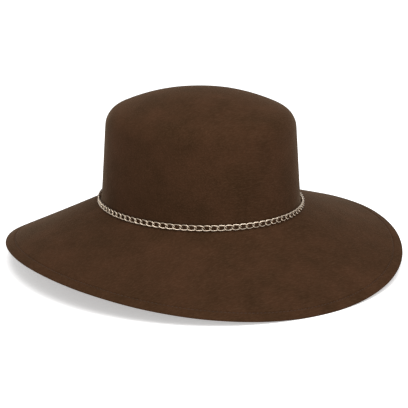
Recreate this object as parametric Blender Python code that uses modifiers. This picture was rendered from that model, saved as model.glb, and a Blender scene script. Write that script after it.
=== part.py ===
"""Wide-brimmed felt hat with a fine chain round its crown.

Metres, +Z up, front towards -Y. The felt is blocked from one piece, so crown and brim are one solid with one
wall thickness. The hat stands as it would on a table: tipped a little, so that the front and the back of its
drooping brim both touch the table at z = 0. The origin is on the table, below the middle of the hat.

The shape is worked out upright first, from the corner where the lines of crown and brim would meet at height 0.
An angle of 0 is the front, 90 degrees the wearer's left side (+X) and 180 degrees the back.
"""

import math

import bmesh
import bpy
from mathutils import Matrix, Vector

# Felt
FELT_THICKNESS = 0.0022
PRESSED_DEPTH = 0.0005  # how much of the brim's lower edge the table flattens

# Crown, measured outside
HEAD_HALF_WIDTH = 0.0895  # the head oval, from its middle to the side
HEAD_HALF_LENGTH = 0.0966  # the head oval, from its middle to the front
CROWN_HEIGHT = 0.1053
CROWN_LEAN = 0.0071  # how far the side comes in over the crown's height
DOME_RADIUS = 0.173  # the low dome of the top
TIP_RADIUS = 0.018  # the round edge between the top and the side
BREAK_REACH = 0.0055  # how far the bend into the brim runs up the side and out along the brim

# Brim, measured down its slope from the corner under the crown
BRIM_WIDTH_FRONT = 0.1054
BRIM_WIDTH_SIDE = 0.0963
BRIM_WIDTH_BACK = 0.0925
BRIM_DROP_FRONT = 0.0529
BRIM_DROP_SIDE = 0.0283
BRIM_DROP_BACK = 0.0457

# Chain, a flat curb chain that stands round the foot of the crown
CHAIN_WIDTH = 0.0054
CHAIN_THICKNESS = 0.0023
CHAIN_FOOT = 0.0008  # its lower edge above the corner under the crown
CHAIN_LEAN = math.radians(2)  # its lower edge stands out a little
CHAIN_GAP = 0.0003  # air between the chain and the felt

# Mesh steps
FELT_STEPS = 96
CHAIN_STEPS = 80
CHAIN_SIDES = 10
CLEARANCE_STEPS = 24

# The felt's rings, from the middle of the top to the brim's edge.
# Columns: stretch of the profile, how many rings it takes.
STRETCHES = (
    ("dome", 5),
    ("tip", 4),
    ("side", 3),
    ("break", 4),
    ("brim", 4),
)


def crown_frame():
    """The round edge's centre and the directions in which it meets the side and the dome."""
    lean = math.atan2(CROWN_LEAN, CROWN_HEIGHT)
    dome_centre = CROWN_HEIGHT - DOME_RADIUS
    reach = HEAD_HALF_WIDTH - TIP_RADIUS / math.cos(lean)
    slope = math.tan(lean)
    a = 1 + slope**2
    b = -2 * (reach * slope + dome_centre)
    c = reach**2 + dome_centre**2 - (DOME_RADIUS - TIP_RADIUS) ** 2
    height = (-b + math.sqrt(b * b - 4 * a * c)) / (2 * a)
    centre = Vector((reach - slope * height, height))
    join = math.atan2(centre.y - dome_centre, centre.x)
    return centre, lean, join, dome_centre


TIP_CENTRE, LEAN, JOIN, DOME_CENTRE = crown_frame()


def side_radius(height):
    """Half the crown's width on its straight side."""
    return HEAD_HALF_WIDTH - height * math.tan(LEAN)


def crown_radius_and_height(stretch, share):
    """A point of the crown's profile, across its width."""
    if stretch == "dome":
        turn = math.pi / 2 + (JOIN - math.pi / 2) * share
        return DOME_RADIUS * math.cos(turn), DOME_CENTRE + DOME_RADIUS * math.sin(turn)
    top = TIP_CENTRE.y + TIP_RADIUS * math.sin(LEAN)
    if stretch == "tip":
        turn = JOIN + (LEAN - JOIN) * share
        return TIP_CENTRE.x + TIP_RADIUS * math.cos(turn), TIP_CENTRE.y + TIP_RADIUS * math.sin(turn)
    height = top + (BREAK_REACH - top) * share
    return side_radius(height), height


def crown_point(radius, height, angle):
    """A crown point: the oval keeps its proportions from the brim to the middle of the top."""
    stretch = HEAD_HALF_LENGTH / HEAD_HALF_WIDTH
    return Vector((radius * math.sin(angle), -radius * stretch * math.cos(angle), height))


def outwards(angle):
    """The level direction square to the head oval."""
    return Vector((HEAD_HALF_LENGTH * math.sin(angle), -HEAD_HALF_WIDTH * math.cos(angle), 0)).normalized()


def around(front, side, back, angle):
    """A size that swings smoothly from front to side to back."""
    middle = (front + back) / 4 + side / 2
    return (
        middle
        + (front - back) / 2 * math.cos(angle)
        + ((front + back) / 4 - side / 2) * math.cos(2 * angle)
    )


def brim_slope(angle):
    """The unit vector down the brim, and the brim's width along it."""
    width = around(BRIM_WIDTH_FRONT, BRIM_WIDTH_SIDE, BRIM_WIDTH_BACK, angle)
    drop = around(BRIM_DROP_FRONT, BRIM_DROP_SIDE, BRIM_DROP_BACK, angle)
    level = math.sqrt(width**2 - drop**2)
    return (outwards(angle) * level + Vector((0, 0, -drop))) / width, width


def bend(share, angle):
    """A point of the soft bend between crown and brim, and the direction along the felt there."""
    above = crown_point(side_radius(BREAK_REACH), BREAK_REACH, angle)
    corner = crown_point(HEAD_HALF_WIDTH, 0, angle)
    slope, _ = brim_slope(angle)
    below = corner + slope * BREAK_REACH
    rest = 1 - share
    point = above * rest**2 + corner * 2 * share * rest + below * share**2
    along = (corner - above) * rest + (below - corner) * share
    return point, along.normalized()


def felt_point(stretch, share, angle):
    """A point of the felt's outer face, with the hat upright."""
    if stretch == "break":
        return bend(share, angle)[0]
    if stretch == "brim":
        slope, width = brim_slope(angle)
        corner = crown_point(HEAD_HALF_WIDTH, 0, angle)
        return corner + slope * (BREAK_REACH + (width - BREAK_REACH) * share)
    radius, height = crown_radius_and_height(stretch, share)
    return crown_point(radius, height, angle)


def felt_normal(along, angle):
    """The felt's outward direction where it runs along the given direction."""
    return along.cross(Vector((0, 0, 1)).cross(outwards(angle))).normalized()


def lower_edge(angle):
    """The brim's lower edge, one felt thickness under its upper edge."""
    slope, _ = brim_slope(angle)
    return felt_point("brim", 1.0, angle) - felt_normal(slope, angle) * FELT_THICKNESS


def standing():
    """The move from the upright hat to the hat on the table, centred over the origin."""
    front = lower_edge(0)
    back = lower_edge(math.pi)
    tip = math.atan2(back.z - front.z, back.y - front.y)
    turn = Matrix.Rotation(-tip, 4, "X")
    front = turn @ front
    middle = (front.y + (turn @ back).y) / 2
    return Matrix.Translation((0, -middle, -front.z - PRESSED_DEPTH)) @ turn


STAND = standing()


def add(name, data, collection):
    """An object in a collection, with its origin on the table below the hat."""
    placed = bpy.data.objects.new(name, data)
    collection.objects.link(placed)
    return placed


def material(name, colour, roughness, metallic):
    """A plain finish."""
    made = bpy.data.materials.new(name)
    made.use_nodes = True
    shader = made.node_tree.nodes["Principled BSDF"]
    shader.inputs["Base Color"].default_value = (*colour, 1)
    shader.inputs["Roughness"].default_value = roughness
    shader.inputs["Metallic"].default_value = metallic
    return made


def ring_places():
    """Each ring's stretch of the profile, and how far along that stretch it lies as a share."""
    places = [("dome", 0.0)]
    for stretch, count in STRETCHES:
        places += [(stretch, (number + 1) / count) for number in range(count)]
    return places


def felt_surface():
    """The open outer face: a flat ringed disc, turned from one row of points and then blocked into the hat."""
    places = ring_places()
    mesh = bmesh.new()
    row = [mesh.verts.new((number, 0, 0)) for number in range(len(places))]
    for near, far in zip(row, row[1:]):
        mesh.edges.new((near, far))
    bmesh.ops.spin(
        mesh,
        geom=mesh.verts[:] + mesh.edges[:],
        axis=(0, 0, 1),
        cent=(0, 0, 0),
        angle=math.tau,
        steps=FELT_STEPS,
        use_merge=True,
    )
    bmesh.ops.remove_doubles(mesh, verts=mesh.verts[:], dist=0.0001)
    for vertex in mesh.verts:
        stretch, share = places[round(vertex.co.xy.length)]
        angle = math.atan2(vertex.co.x, -vertex.co.y)
        vertex.co = STAND @ felt_point(stretch, share, angle)
    bmesh.ops.recalc_face_normals(mesh, faces=mesh.faces[:])
    if sum(face.normal.z for face in mesh.faces) < 0:
        bmesh.ops.reverse_faces(mesh, faces=mesh.faces[:])
    made = bpy.data.meshes.new("felt_body")
    mesh.to_mesh(made)
    mesh.free()
    return made


def build_felt(parts, cutters):
    """Crown and brim: one felt wall, flattened where the brim meets the table."""
    felt = add("felt_body", felt_surface(), parts)
    felt.data.materials.append(material("brown_felt", (0.070, 0.036, 0.019), 0.95, 0.0))
    felt.data.shade_smooth()
    wall = felt.modifiers.new("wall", "SOLIDIFY")
    wall.thickness = FELT_THICKNESS
    wall.offset = -1
    wall.use_even_offset = True

    half_span = HEAD_HALF_LENGTH + BRIM_WIDTH_FRONT + BRIM_WIDTH_SIDE
    bpy.ops.mesh.primitive_cube_add(size=1)
    table = bpy.context.object
    table.name = "table_top"
    table.data.transform(Matrix.Diagonal((2 * half_span, 2 * half_span, FELT_THICKNESS, 1)))
    table.data.transform(Matrix.Translation((0, 0, -FELT_THICKNESS / 2)))
    table.hide_render = True
    table.display_type = "WIRE"
    for owner in table.users_collection:
        owner.objects.unlink(table)
    cutters.objects.link(table)
    pressed = felt.modifiers.new("pressed_edge", "BOOLEAN")
    pressed.operation = "DIFFERENCE"
    pressed.object = table
    return felt


def chain_seat(angle):
    """The chain's middle and its outward direction: it stands off the crown until its oval clears the bend."""
    out = outwards(angle)
    away = out * math.cos(CHAIN_LEAN) + Vector((0, 0, math.sin(CHAIN_LEAN)))
    height = CHAIN_FOOT + CHAIN_WIDTH / 2
    start = crown_point(side_radius(height), height, angle)
    standoff = 0
    for step in range(CLEARANCE_STEPS + 1):
        point, along = bend(step / CLEARANCE_STEPS, angle)
        normal = felt_normal(along, angle)
        turn = away.angle(normal)
        reach = math.hypot(CHAIN_THICKNESS / 2 * math.cos(turn), CHAIN_WIDTH / 2 * math.sin(turn))
        standoff = max(standoff, (reach + CHAIN_GAP - (start - point).dot(normal)) / out.dot(normal))
    return start + out * standoff, away


def chain_section(cutters):
    """The chain's flat oval section, which the route carries round."""
    outline = bpy.data.curves.new("chain_section", "CURVE")
    outline.dimensions = "2D"
    spline = outline.splines.new("POLY")
    spline.points.add(CHAIN_SIDES - 1)
    for number, point in enumerate(spline.points):
        turn = math.tau * number / CHAIN_SIDES
        point.co = (CHAIN_THICKNESS / 2 * math.cos(turn), -CHAIN_WIDTH / 2 * math.sin(turn), 0, 1)
    spline.use_cyclic_u = True
    section = add("chain_section", outline, cutters)
    section.hide_render = True
    section.display_type = "WIRE"
    return section


def build_chain(parts, cutters):
    """The chain as a flat tube, a whole loop round the foot of the crown."""
    route = bpy.data.curves.new("crown_chain", "CURVE")
    route.dimensions = "3D"
    route.twist_mode = "Z_UP"
    route.bevel_mode = "OBJECT"
    route.bevel_object = chain_section(cutters)
    spline = route.splines.new("POLY")
    spline.points.add(CHAIN_STEPS - 1)
    for number, point in enumerate(spline.points):
        angle = math.tau * number / CHAIN_STEPS
        middle, away = chain_seat(angle)
        point.co = (*(STAND @ middle), 1)
        point.tilt = -math.asin(away.z)
    spline.use_cyclic_u = True
    chain = add("crown_chain", route, parts)
    chain.data.materials.append(material("pale_steel", (0.62, 0.55, 0.45), 0.28, 1.0))
    return chain


def main():
    for old in list(bpy.data.objects):
        bpy.data.objects.remove(old)
    parts = bpy.data.collections.new("felt_hat")
    cutters = bpy.data.collections.new("cutters")
    for collection in (parts, cutters):
        bpy.context.scene.collection.children.link(collection)
    build_felt(parts, cutters)
    build_chain(parts, cutters)


main()
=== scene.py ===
# %% [markdown]
# # A wide-brimmed felt hat with a chain round its crown
#
# The real hat is one cone of brown wool felt, steamed and pulled over a wooden block, so crown and brim are a
# single skin. A row of stitches runs near the brim's edge, and a fine curb chain lies in the bend where the
# crown meets the brim. These cells build the felt, the stitches, the chain's links and the studio.

# %% Load the frame
import math
import random

import bmesh
import bpy
from mathutils import Matrix, Vector, noise


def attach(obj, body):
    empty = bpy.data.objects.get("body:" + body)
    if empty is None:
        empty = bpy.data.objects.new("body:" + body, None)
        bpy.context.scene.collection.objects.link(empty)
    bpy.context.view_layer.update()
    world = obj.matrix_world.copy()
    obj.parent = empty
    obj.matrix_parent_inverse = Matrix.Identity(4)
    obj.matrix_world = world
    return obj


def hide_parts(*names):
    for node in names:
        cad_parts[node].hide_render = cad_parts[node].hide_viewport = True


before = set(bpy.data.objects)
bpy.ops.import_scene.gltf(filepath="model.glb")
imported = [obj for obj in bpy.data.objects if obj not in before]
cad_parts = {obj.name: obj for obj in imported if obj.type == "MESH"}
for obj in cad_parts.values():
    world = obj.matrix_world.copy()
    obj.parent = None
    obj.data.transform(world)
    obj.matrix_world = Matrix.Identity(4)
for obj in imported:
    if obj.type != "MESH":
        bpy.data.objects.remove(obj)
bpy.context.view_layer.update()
print("frame nodes:", sorted(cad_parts))

# %% [markdown]
# ## The hat's sizes
#
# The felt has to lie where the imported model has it, so the same driving sizes are named here, in metres. The
# upright hat is worked out first, from the corner where the lines of crown and brim would meet at height 0.
# An angle of 0 is the front, and a quarter turn is the wearer's left.

# %% Driving sizes
FELT_THICKNESS = 0.0022
PRESSED_DEPTH = 0.0005
HEAD_HALF_WIDTH = 0.0895
HEAD_HALF_LENGTH = 0.0966
CROWN_HEIGHT = 0.1053
CROWN_LEAN = 0.0071
DOME_RADIUS = 0.173
TIP_RADIUS = 0.018
BREAK_REACH = 0.0055
BRIM_WIDTH = {"front": 0.1054, "side": 0.0963, "back": 0.0925}
BRIM_DROP = {"front": 0.0529, "side": 0.0283, "back": 0.0457}
CHAIN_WIDTH = 0.0054
CHAIN_THICKNESS = 0.0023
CHAIN_FOOT = 0.0008  # the chain's lower edge above the corner
CHAIN_LEAN = math.radians(2)
CHAIN_GAP = 0.0003

# %% [markdown]
# ## The crown's profile
#
# The crown is a straight side that leans in a little, a round edge and a very low dome. Two arcs that touch
# smoothly give that profile exactly. It could be a hand-drawn curve too, but arcs keep each radius a real size.

# %% Crown profile
LEAN = math.atan2(CROWN_LEAN, CROWN_HEIGHT)
DOME_CENTRE = CROWN_HEIGHT - DOME_RADIUS


def tip_centre():
    """The centre of the round edge, which touches the leaning side and the dome."""
    slope = math.tan(LEAN)
    reach = HEAD_HALF_WIDTH - TIP_RADIUS / math.cos(LEAN)
    a = 1 + slope**2
    b = -2 * (reach * slope + DOME_CENTRE)
    c = reach**2 + DOME_CENTRE**2 - (DOME_RADIUS - TIP_RADIUS) ** 2
    height = (-b + math.sqrt(b * b - 4 * a * c)) / (2 * a)
    return Vector((reach - slope * height, height))


TIP = tip_centre()
JOIN = math.atan2(TIP.y - DOME_CENTRE, TIP.x)
SIDE_TOP = TIP.y + TIP_RADIUS * math.sin(LEAN)


def side_radius(height):
    """Half the crown's width on its straight side."""
    return HEAD_HALF_WIDTH - height * math.tan(LEAN)


def crown_profile(stretch, share):
    """Radius and height of a point on the crown, across its width."""
    if stretch == "dome":
        turn = math.pi / 2 + (JOIN - math.pi / 2) * share
        return DOME_RADIUS * math.cos(turn), DOME_CENTRE + DOME_RADIUS * math.sin(turn)
    if stretch == "tip":
        turn = JOIN + (LEAN - JOIN) * share
        return TIP.x + TIP_RADIUS * math.cos(turn), TIP.y + TIP_RADIUS * math.sin(turn)
    height = SIDE_TOP + (BREAK_REACH - SIDE_TOP) * share
    return side_radius(height), height


print("round edge centred at", [round(1000 * value, 1) for value in TIP], "mm")

# %% [markdown]
# ## The brim
#
# The brim droops more at the front and the back than at the sides. A size that swings between three named
# values as the angle goes round gives that saddle with no list of points. The bend into the crown is a
# soft curve that leaves the side and joins the brim without a crease.

# %% Brim and bend


def around(sizes, angle):
    """A size that swings smoothly from front to side to back."""
    ends = (sizes["front"] + sizes["back"]) / 4
    return (
        ends
        + sizes["side"] / 2
        + (sizes["front"] - sizes["back"]) / 2 * math.cos(angle)
        + (ends - sizes["side"] / 2) * math.cos(2 * angle)
    )


def crown_point(radius, height, angle):
    """A point on the crown's oval."""
    stretch = HEAD_HALF_LENGTH / HEAD_HALF_WIDTH
    return Vector((radius * math.sin(angle), -radius * stretch * math.cos(angle), height))


def outwards(angle):
    """The level direction square to the head oval."""
    return Vector((HEAD_HALF_LENGTH * math.sin(angle), -HEAD_HALF_WIDTH * math.cos(angle), 0)).normalized()


def brim_slope(angle):
    """The direction down the brim, and its width."""
    width = around(BRIM_WIDTH, angle)
    drop = around(BRIM_DROP, angle)
    level = math.sqrt(width**2 - drop**2)
    return (outwards(angle) * level + Vector((0, 0, -drop))) / width, width


def bend(share, angle):
    """A point of the bend between crown and brim, and the direction along the felt."""
    above = crown_point(side_radius(BREAK_REACH), BREAK_REACH, angle)
    corner = crown_point(HEAD_HALF_WIDTH, 0, angle)
    below = corner + brim_slope(angle)[0] * BREAK_REACH
    rest = 1 - share
    point = above * rest**2 + corner * 2 * share * rest + below * share**2
    return point, ((corner - above) * rest + (below - corner) * share).normalized()


def brim_point(inset, angle):
    """A point of the brim's upper face, by its distance from the edge."""
    slope, width = brim_slope(angle)
    return crown_point(HEAD_HALF_WIDTH, 0, angle) + slope * (width - inset)


def felt_normal(along, angle):
    """The felt's outward direction where it runs along the given direction."""
    return along.cross(Vector((0, 0, 1)).cross(outwards(angle))).normalized()


# %% [markdown]
# ## How the hat stands
#
# Front and back dip by different amounts, so on a table the hat tips until both touch. The same turn and lift
# as in the imported model carries every piece.

# %% Standing


def lower_edge(angle):
    """The brim's lower edge, one felt thickness under its upper edge."""
    slope = brim_slope(angle)[0]
    return brim_point(0, angle) - felt_normal(slope, angle) * FELT_THICKNESS


def standing():
    """The move from the upright hat to the hat on the table."""
    front, back = lower_edge(0), lower_edge(math.pi)
    turn = Matrix.Rotation(-math.atan2(back.z - front.z, back.y - front.y), 4, "X")
    front, back = turn @ front, turn @ back
    return Matrix.Translation((0, -(front.y + back.y) / 2, -front.z - PRESSED_DEPTH)) @ turn


STAND = standing()

# %% [markdown]
# ## Rings for the felt
#
# A hatter starts with a round of felt and presses it over a block. The mesh does the same: a flat disc of
# rings is spun from one row of points, and each ring then moves to its place on the hat. Rings lie close
# together only where the felt turns, and around the stitching, which sinks a shallow groove into the brim.

# %% Ring table
STITCH_INSET = 0.0092  # from the brim's edge to the stitching
GROOVE_DEPTH = 0.0006
GROOVE_HALF_WIDTH = 0.0008
FELT_STEPS = 192
# Columns: stretch of the profile, how many rings it takes.
STRETCHES = (("dome", 12), ("tip", 12), ("side", 14), ("bend", 10))
BRIM_RINGS = 18


def ring_table():
    """One row for each ring: the stretch, and the share of it or the inset from the edge."""
    rows = [("dome", 0.0)]
    for stretch, count in STRETCHES:
        rows += [(stretch, (number + 1) / count) for number in range(count)]
    groove = [STITCH_INSET + GROOVE_HALF_WIDTH * step / 2 for step in range(5, -6, -1)]
    width = BRIM_WIDTH["side"] - BREAK_REACH
    first = [width - (width - groove[0]) * (number + 1) / (BRIM_RINGS + 1) for number in range(BRIM_RINGS)]
    last = [groove[-1] * (4 - number) / 5 for number in range(5)]
    return rows + [("brim", inset) for inset in first + groove + last]


RINGS = ring_table()
print(len(RINGS), "rings of", FELT_STEPS)

# %% [markdown]
# ## Blocking the felt
#
# Real felt is never quite even, so a slow, faint swell is added to the shape. The open skin then gets its
# wall with solidify, the cut edge is rounded with a bevel, and what would go through the table is pressed
# flat, as the soft edge is on a real one.

# %% Felt piece
SWELL = 0.00035  # how far the felt wanders from its block
SWELL_SIZE = 0.045
TOP_LEAN = 0.009  # the crown's top rises this much per metre towards the front left
TOP_LEAN_TOWARDS = Vector((0.83, -0.56, 0))
EDGE_ROUND = 0.0008


def felt_point(stretch, value, angle):
    """A point of the felt's outer face on the upright hat."""
    if stretch == "bend":
        return bend(value, angle)[0]
    if stretch == "brim":
        slope, width = brim_slope(angle)
        share = value / (BRIM_WIDTH["side"] - BREAK_REACH)
        near_edge = STITCH_INSET + 3 * GROOVE_HALF_WIDTH
        spread = max(0.0, (value - near_edge) / (BRIM_WIDTH["side"] - BREAK_REACH - near_edge))
        inset = value + (width - BRIM_WIDTH["side"]) * spread
        sunk = GROOVE_DEPTH * math.exp(-(((value - STITCH_INSET) / GROOVE_HALF_WIDTH) ** 2))
        return brim_point(inset, angle) - felt_normal(slope, angle) * sunk * min(1.0, share * 10)
    point = crown_point(*crown_profile(stretch, value), angle)
    up = max(0.0, point.z / CROWN_HEIGHT)
    point.z += TOP_LEAN * point.dot(TOP_LEAN_TOWARDS) * up**2
    return point


def blocked_disc():
    """The felt's outer face, spun flat and then moved ring by ring to its place."""
    mesh = bmesh.new()
    row = [mesh.verts.new((number, 0, 0)) for number in range(len(RINGS))]
    for near, far in zip(row, row[1:]):
        mesh.edges.new((near, far))
    bmesh.ops.spin(
        mesh,
        geom=mesh.verts[:] + mesh.edges[:],
        axis=(0, 0, 1),
        cent=(0, 0, 0),
        angle=math.tau,
        steps=FELT_STEPS,
        use_merge=True,
    )
    bmesh.ops.remove_doubles(mesh, verts=mesh.verts[:], dist=0.0001)
    for vertex in mesh.verts:
        stretch, value = RINGS[round(vertex.co.xy.length)]
        angle = math.atan2(vertex.co.x, -vertex.co.y)
        vertex.co = felt_point(stretch, value, angle)
    bmesh.ops.recalc_face_normals(mesh, faces=mesh.faces[:])
    if sum(face.normal.z for face in mesh.faces) < 0:
        bmesh.ops.reverse_faces(mesh, faces=mesh.faces[:])
    mesh.normal_update()
    moves = [vertex.normal * SWELL * noise.noise(vertex.co / SWELL_SIZE) for vertex in mesh.verts]
    for vertex, move in zip(mesh.verts, moves):
        vertex.co = STAND @ (vertex.co + move)
    return mesh


def shown(name, mesh, materials):
    """Makes a piece from a bmesh and links it, with its origin at the frame's origin."""
    data = bpy.data.meshes.new(name)
    mesh.to_mesh(data)
    mesh.free()
    data.shade_smooth()
    for finish in materials:
        data.materials.append(finish)
    piece = bpy.data.objects.new(name, data)
    bpy.context.scene.collection.objects.link(piece)
    print(name, "has", len(data.polygons), "faces")
    return piece


def felt_mesh():
    """The blocked skin with its wall, its rounded edge and its pressed rests."""
    mesh = blocked_disc()
    bmesh.ops.solidify(mesh, geom=mesh.faces[:], thickness=FELT_THICKNESS)
    mesh.normal_update()
    corners = [edge for edge in mesh.edges if edge.is_manifold and edge.calc_face_angle() > math.radians(60)]
    bmesh.ops.bevel(
        mesh, geom=corners, offset=EDGE_ROUND, segments=3, profile=0.5, affect="EDGES", material=-1
    )
    for vertex in mesh.verts:
        vertex.co.z = max(vertex.co.z, 0.0)
    return mesh


# %% [markdown]
# ## Helpers for materials
#
# Every finish below is a small node tree that reads Object coordinates, so its pattern stays on the piece
# when the view turns. These helpers only add a node, set its inputs and link it.

# %% Node helpers


class Finish:
    """A material under construction."""

    def __init__(self, name):
        self.material = bpy.data.materials.new(name)
        self.material.use_nodes = True
        self.tree = self.material.node_tree
        self.shader = self.tree.nodes["Principled BSDF"]
        self.place = self.tree.nodes.new("ShaderNodeTexCoord").outputs["Object"]

    def node(self, kind, **inputs):
        """A node whose inputs are values or sockets, named with underscores for spaces."""
        made = self.tree.nodes.new(kind)
        for name, value in inputs.items():
            self.feed(made.inputs[name.replace("_", " ")], value)
        return made

    def feed(self, socket, value):
        """Links an output to the socket, or sets its value."""
        if isinstance(value, bpy.types.NodeSocket):
            self.tree.links.new(value, socket)
        else:
            socket.default_value = value

    def noise(self, place, scale, detail=2.0, roughness=0.5):
        """A noise between 0 and 1."""
        made = self.node("ShaderNodeTexNoise", Vector=place, Scale=scale, Detail=detail, Roughness=roughness)
        return made.outputs["Fac"]

    def turned(self, turn, stretch):
        """Object coordinates, turned and stretched, for fibres that run one way."""
        mapping = self.node("ShaderNodeMapping", Vector=self.place, Rotation=turn, Scale=stretch)
        return mapping.outputs["Vector"]

    def math(self, operation, first, second=0.0):
        """One arithmetic step."""
        made = self.tree.nodes.new("ShaderNodeMath")
        made.operation = operation
        self.feed(made.inputs[0], first)
        self.feed(made.inputs[1], second)
        return made.outputs[0]

    def ramp(self, value, low, high, to_low, to_high):
        """A value carried from one range to another, without going past its ends."""
        made = self.node("ShaderNodeMapRange", Value=value)
        for name, number in (("From Min", low), ("From Max", high), ("To Min", to_low), ("To Max", to_high)):
            made.inputs[name].default_value = number
        return made.outputs[0]

    def mix(self, share, first, second):
        """A blend of two colours."""
        made = self.tree.nodes.new("ShaderNodeMix")
        made.data_type = "RGBA"
        self.feed(made.inputs["Factor"], share)
        self.feed(made.inputs["A"], first)
        self.feed(made.inputs["B"], second)
        return made.outputs["Result"]

    def bump(self, height, distance, strength=1.0):
        """Fine relief on the shader's normal."""
        made = self.node("ShaderNodeBump", Height=height)
        made.inputs["Distance"].default_value = distance
        made.inputs["Strength"].default_value = strength
        self.feed(self.shader.inputs["Normal"], made.outputs["Normal"])


# %% [markdown]
# ## Wool felt
#
# Felt is a mat of short fibres that lie in every direction. Three layers of noise, each stretched along its
# own direction, cross each other like that mat. A slow noise shifts the brown between an olive and a redder
# tone, as dye does. The nap catches light at a glancing angle: sheen on the shader gives that pale rim.

# %% Felt finish
FELT_DARK = (0.0330, 0.0158, 0.0070, 1)
FELT_LIGHT = (0.0530, 0.0235, 0.0115, 1)
FIBRE_PALE = (0.0900, 0.0480, 0.0260, 1)
# Columns: turn about X, Y and Z in degrees, stretch along X, Y and Z.
FIBRE_LAYERS = (
    ((10, 0, 25), (170, 900, 900)),
    ((0, 20, 100), (200, 1000, 1000)),
    ((70, 15, 60), (185, 950, 950)),
)


def felt_finish(name):
    """Brown wool felt."""
    felt = Finish(name)
    fibres = None
    for turn, stretch in FIBRE_LAYERS:
        layer = felt.noise(felt.turned([math.radians(angle) for angle in turn], stretch), 1.0, 3.0, 0.6)
        fibres = layer if fibres is None else felt.math("MAXIMUM", fibres, layer)
    cloud = felt.noise(felt.place, 34.0, 4.0, 0.6)
    speckle = felt.noise(felt.place, 620.0, 3.0, 0.7)
    brown = felt.mix(felt.ramp(cloud, 0.32, 0.68, 0.0, 1.0), FELT_DARK, FELT_LIGHT)
    brown = felt.mix(felt.ramp(speckle, 0.38, 0.62, 0.0, 0.45), brown, FELT_DARK)
    brown = felt.mix(felt.ramp(fibres, 0.52, 0.74, 0.0, 0.35), brown, FIBRE_PALE)
    felt.feed(felt.shader.inputs["Base Color"], brown)
    felt.feed(felt.shader.inputs["Roughness"], felt.ramp(fibres, 0.4, 0.8, 0.98, 0.86))
    felt.shader.inputs["Specular IOR Level"].default_value = 0.03
    felt.shader.inputs["Sheen Weight"].default_value = 0.14
    felt.shader.inputs["Sheen Roughness"].default_value = 0.28
    felt.shader.inputs["Sheen Tint"].default_value = (0.92, 0.72, 0.50, 1)
    felt.bump(felt.math("ADD", fibres, felt.math("MULTIPLY", speckle, 0.6)), 0.00035, 0.7)
    return felt.material


felt_body = shown("felt_shell", felt_mesh(), [felt_finish("brown_felt")])
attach(felt_body, "root")
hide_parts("felt_body")

# %% [markdown]
# ## The row of stitches
#
# A line of thread runs round the brim, a finger's width in. Each stitch is a short fat rod with round ends
# that lies in the groove and dips at both ends. One small stitch mesh, made once, is copied round the brim
# at equal distances and turned to follow it. A texture could fake it, but real thread also casts its shade.

# %% Stitches
STITCH_PITCH = 0.0034
STITCH_LENGTH = 0.0027
THREAD_RADIUS = 0.00028
THREAD_SINK = 0.00018


def loop_samples(point_at, count=1440):
    """Distances along a closed route round the hat: a list of (angle, distance)."""
    table, distance = [(0.0, 0.0)], 0.0
    before = point_at(0.0)
    for number in range(1, count + 1):
        angle = math.tau * number / count
        here = point_at(angle)
        distance += (here - before).length
        table.append((angle, distance))
        before = here
    return table


def even_angles(point_at, pitch):
    """Angles at equal distances along a closed route, and that distance."""
    table = loop_samples(point_at)
    total = table[-1][1]
    count = round(total / pitch)
    angles, row = [], 0
    for number in range(count):
        goal = total * number / count
        while table[row + 1][1] < goal:
            row += 1
        (a0, d0), (a1, d1) = table[row], table[row + 1]
        angles.append(a0 + (a1 - a0) * (goal - d0) / (d1 - d0))
    return angles, total / count


def placed(centre, lengthwise, away):
    """The move that carries X to the lengthwise direction and Z away from the felt."""
    away = (away - lengthwise * away.dot(lengthwise)).normalized()
    across = away.cross(lengthwise)
    turn = Matrix((lengthwise, across, away)).transposed().to_4x4()
    return Matrix.Translation(centre) @ turn


def stitch_shape():
    """One stitch along X."""
    mesh = bmesh.new()
    bmesh.ops.create_uvsphere(mesh, u_segments=6, v_segments=6, radius=1.0)
    bmesh.ops.rotate(mesh, verts=mesh.verts[:], matrix=Matrix.Rotation(math.pi / 2, 3, "Y"))
    for vertex in mesh.verts:
        share = vertex.co.x
        fat = THREAD_RADIUS * (1 - 0.25 * share**2)
        rise = -THREAD_RADIUS * 1.1 * share**2
        vertex.co = (share * STITCH_LENGTH / 2, vertex.co.y * fat, vertex.co.z * fat + rise)
    data = bpy.data.meshes.new("one_stitch")
    mesh.to_mesh(data)
    mesh.free()
    return data


def repeated(data, moves):
    """One bmesh with a copy of the shape for each move."""
    mesh = bmesh.new()
    for move in moves:
        first = len(mesh.verts)
        mesh.from_mesh(data)
        mesh.verts.ensure_lookup_table()
        bmesh.ops.transform(mesh, matrix=move, verts=mesh.verts[first:])
    bmesh.ops.recalc_face_normals(mesh, faces=mesh.faces[:])
    return mesh


def stitch_moves():
    """Where each stitch lies on the brim."""
    angles, _ = even_angles(lambda angle: brim_point(STITCH_INSET, angle), STITCH_PITCH)
    moves = []
    for angle in angles:
        here = felt_point("brim", STITCH_INSET, angle)
        ahead = felt_point("brim", STITCH_INSET, angle + 0.004)
        away = felt_normal(brim_slope(angle)[0], angle)
        wander = away * SWELL * noise.noise(here / SWELL_SIZE)
        centre = here + wander + away * (THREAD_RADIUS - THREAD_SINK)
        moves.append(STAND @ placed(centre, (ahead - here).normalized(), away))
    return moves


def thread_finish():
    """Brown sewing thread, darker than the felt; part of that darkness is painted shade for the stitch line's
    groove.
    """
    thread = Finish("brown_thread")
    twist = thread.noise(thread.turned((0, 0, 0), (2600, 2600, 2600)), 1.0, 1.0, 0.5)
    # The thread's own brown, made darker with painted shade for the groove it lies in.
    thread.feed(
        thread.shader.inputs["Base Color"],
        thread.mix(thread.ramp(twist, 0.35, 0.65, 0.0, 1.0), (0.020, 0.010, 0.006, 1), (0.062, 0.034, 0.020, 1)),
    )
    thread.shader.inputs["Roughness"].default_value = 0.7
    thread.shader.inputs["Specular IOR Level"].default_value = 0.3
    thread.bump(twist, 0.0001, 0.6)
    return thread.material


brim_stitching = shown("brim_stitching", repeated(stitch_shape(), stitch_moves()), [thread_finish()])
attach(brim_stitching, "root")

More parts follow.
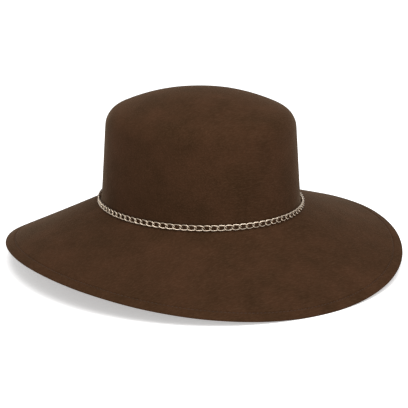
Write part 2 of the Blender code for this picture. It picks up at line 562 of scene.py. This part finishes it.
# %% [markdown]
# ## The curb chain
#
# A curb link is an oval ring of wire that has been given a twist, so that a row of them lies flat and each
# passes through the next. The wire's round section is spun into a ring, stretched to an oval, and lifted
# by the sine of twice the turn, which is the twist. Copies follow the bend at equal steps, each looking
# along the loop, so they interlock without touching.

# %% Chain links
LINK_PITCH = 0.0065
WIRE_RADIUS = 0.00052
LINK_HALF_LENGTH = 0.00405  # to the wire's middle
LINK_SQUARENESS = 2.2
LINK_STEPS = 28
CLEARANCE_STEPS = 24
WIRE_SIDES = 8


def bulged(value):
    """A sine or cosine pushed towards 1, which squares an oval a little."""
    return math.copysign(abs(value) ** (2 / LINK_SQUARENESS), value)


def link_centre(turn):
    """The wire's middle line in one link."""
    half_width = CHAIN_WIDTH / 2 - WIRE_RADIUS
    twist = CHAIN_THICKNESS / 2 - WIRE_RADIUS
    return Vector((
        LINK_HALF_LENGTH * bulged(math.cos(turn)),
        half_width * bulged(math.sin(turn)),
        twist * math.sin(2 * turn),
    ))


def link_shape():
    """One twisted link, its length along X and its width along Y."""
    mesh = bmesh.new()
    bmesh.ops.create_circle(mesh, segments=WIRE_SIDES, radius=WIRE_RADIUS)
    upright = Matrix.Rotation(math.pi / 2, 3, "X")
    bmesh.ops.rotate(mesh, verts=mesh.verts[:], matrix=upright)
    bmesh.ops.translate(mesh, verts=mesh.verts[:], vec=(1, 0, 0))
    bmesh.ops.spin(
        mesh,
        geom=mesh.verts[:] + mesh.edges[:],
        axis=(0, 0, 1),
        cent=(0, 0, 0),
        angle=math.tau,
        steps=LINK_STEPS,
        use_merge=True,
    )
    bmesh.ops.remove_doubles(mesh, verts=mesh.verts[:], dist=0.00001)
    step = 0.01
    for vertex in mesh.verts:
        turn = math.atan2(vertex.co.y, vertex.co.x)
        side = vertex.co.xy.length - 1
        along = (link_centre(turn + step) - link_centre(turn - step)).normalized()
        across = along.cross(Vector((0, 0, 1))).normalized()
        vertex.co = link_centre(turn) + across * side + across.cross(along) * vertex.co.z
    bmesh.ops.recalc_face_normals(mesh, faces=mesh.faces[:])
    data = bpy.data.meshes.new("one_link")
    mesh.to_mesh(data)
    mesh.free()
    return data


def chain_seat(angle):
    """The chain's middle and outward direction: it stands off the crown until it clears the bend."""
    out = outwards(angle)
    away = out * math.cos(CHAIN_LEAN) + Vector((0, 0, math.sin(CHAIN_LEAN)))
    height = CHAIN_FOOT + CHAIN_WIDTH / 2
    start = crown_point(side_radius(height), height, angle)
    standoff = 0
    for step in range(CLEARANCE_STEPS + 1):
        point, along = bend(step / CLEARANCE_STEPS, angle)
        normal = felt_normal(along, angle)
        turn = away.angle(normal)
        reach = math.hypot(CHAIN_THICKNESS / 2 * math.cos(turn), CHAIN_WIDTH / 2 * math.sin(turn))
        standoff = max(standoff, (reach + CHAIN_GAP - (start - point).dot(normal)) / out.dot(normal))
    return start + out * standoff, away


def link_moves():
    """Where each link lies, with a slight unevenness from link to link."""
    angles, pitch = even_angles(lambda angle: chain_seat(angle)[0], LINK_PITCH)
    print(len(angles), "links,", round(1000 * pitch, 3), "mm apart")
    chance = random.Random(7)
    moves = []
    for angle in angles:
        middle, away = chain_seat(angle)
        ahead, behind = chain_seat(angle + 0.01)[0], chain_seat(angle - 0.01)[0]
        rock = Matrix.Rotation(math.radians(chance.uniform(-2.5, 2.5)), 4, "X")
        moves.append(STAND @ placed(middle, (ahead - behind).normalized(), away) @ rock)
    return moves


# %% [markdown]
# ## Pale steel
#
# The wire is polished but not new: fine drawing marks and small changes in gloss break its reflections.
# Its colour leans to champagne. Metal shows mostly what is around it, so the finish stays simple.

# %% Chain finish


def steel_finish():
    """Polished pale wire."""
    steel = Finish("pale_steel")
    marks = steel.noise(steel.place, 1400.0, 3.0, 0.6)
    cloud = steel.noise(steel.place, 120.0, 2.0, 0.5)
    colour = steel.mix(steel.ramp(cloud, 0.3, 0.7, 0.0, 1.0), (0.58, 0.47, 0.36, 1), (0.74, 0.63, 0.50, 1))
    steel.feed(steel.shader.inputs["Base Color"], colour)
    steel.feed(steel.shader.inputs["Roughness"], steel.ramp(marks, 0.3, 0.7, 0.16, 0.34))
    steel.shader.inputs["Metallic"].default_value = 1.0
    steel.bump(marks, 0.00003, 0.5)
    return steel.material


chain_links = shown("chain_links", repeated(link_shape(), link_moves()), [steel_finish()])
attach(chain_links, "root")
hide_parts("crown_chain")

# %% [markdown]
# ## Floor and light
#
# The hat stands in a bright studio: a near-white floor that runs out of sight, a wide soft light above, a
# softer one from the front right, and white all round.

# %% Studio

FLOOR_GLOW = 0.45


def floor():
    """A wide plain floor, lit from below a little so that the shadow on it stays soft."""
    mesh = bmesh.new()
    bmesh.ops.create_grid(mesh, x_segments=1, y_segments=1, size=6.0)
    made = shown("floor", mesh, [])
    paint = Finish("pale_floor")
    grain = paint.noise(paint.place, 3.0, 1.0, 0.5)
    tone = paint.mix(paint.ramp(grain, 0.4, 0.6, 0.0, 1.0), (0.90, 0.90, 0.90, 1), (0.92, 0.92, 0.92, 1))
    paint.feed(paint.shader.inputs["Base Color"], tone)
    paint.shader.inputs["Roughness"].default_value = 0.9
    paint.shader.inputs["Emission Color"].default_value = (1, 1, 1, 1)
    paint.shader.inputs["Emission Strength"].default_value = FLOOR_GLOW
    made.data.materials.append(paint.material)
    return made


def soft_light(name, place, size, power):
    """A square area light that looks at the crown."""
    data = bpy.data.lights.new(name, "AREA")
    data.shape = "SQUARE"
    data.size = size
    data.energy = power
    light = bpy.data.objects.new(name, data)
    bpy.context.scene.collection.objects.link(light)
    light.location = place
    look = Vector((0, 0, 0.08)) - Vector(place)
    light.rotation_euler = look.to_track_quat("-Z", "Y").to_euler()
    return light


floor()
soft_light("light_above", (-0.2, -0.4, 1.8), 1.6, 34.0)
soft_light("light_front", (0.3, -2.2, 1.0), 1.2, 6.0)
world = bpy.data.worlds.new("white_room")
world.use_nodes = True
world.node_tree.nodes["Background"].inputs["Color"].default_value = (1, 1, 1, 1)
world.node_tree.nodes["Background"].inputs["Strength"].default_value = 0.55
bpy.context.scene.world = world
bpy.context.scene.view_settings.view_transform = "Standard"

# %% [markdown]
# ## Camera
#
# The photograph looks at the front of the hat from its right-hand side, a little from above, through a long
# lens. The camera's place is given by its distance and two angles round the foot of the crown, and it looks
# at a point a little lower, so that the hat sits in the frame as it does there without any lens shift.

# %% Camera
PHOTO_WIDTH = 408  # pixels
SENSOR = 36.0
CAMERA_DISTANCE = 1.525
CAMERA_AZIMUTH = math.radians(-33.55)
CAMERA_ELEVATION = math.radians(15.08)
CAMERA_ROLL = math.radians(-0.1)
PIXELS_PER_METRE = 1091.4  # at the foot of the crown
CROWN_FOOT = Vector((0, 0, 0.0203))
CROWN_FOOT_PIXEL = Vector((200.65, 180.62))


def camera():
    """A camera on the upright hat's own axes, carried with the hat to where it stands."""
    back = Vector((
        math.sin(CAMERA_AZIMUTH) * math.cos(CAMERA_ELEVATION),
        -math.cos(CAMERA_AZIMUTH) * math.cos(CAMERA_ELEVATION),
        math.sin(CAMERA_ELEVATION),
    ))
    right = Vector((math.cos(CAMERA_AZIMUTH), math.sin(CAMERA_AZIMUTH), 0))
    up = back.cross(right)
    right, up = (
        right * math.cos(CAMERA_ROLL) + up * math.sin(CAMERA_ROLL),
        up * math.cos(CAMERA_ROLL) - right * math.sin(CAMERA_ROLL),
    )
    off_centre = (Vector((PHOTO_WIDTH, PHOTO_WIDTH)) / 2 - CROWN_FOOT_PIXEL) / PIXELS_PER_METRE
    aim = CROWN_FOOT + right * off_centre.x - up * off_centre.y
    eye = CROWN_FOOT + back * CAMERA_DISTANCE
    back = (eye - aim).normalized()
    right = up.cross(back).normalized()
    turn = Matrix((right, back.cross(right), back)).transposed().to_4x4()
    data = bpy.data.cameras.new("photo_camera")
    data.sensor_width = SENSOR
    data.lens = SENSOR * PIXELS_PER_METRE * CAMERA_DISTANCE / PHOTO_WIDTH
    made = bpy.data.objects.new("photo_camera", data)
    bpy.context.scene.collection.objects.link(made)
    made.matrix_world = STAND @ Matrix.Translation(eye) @ turn
    print("camera at", [round(value, 3) for value in made.matrix_world.translation], "lens", round(data.lens, 1))
    return made


bpy.context.scene.camera = camera()
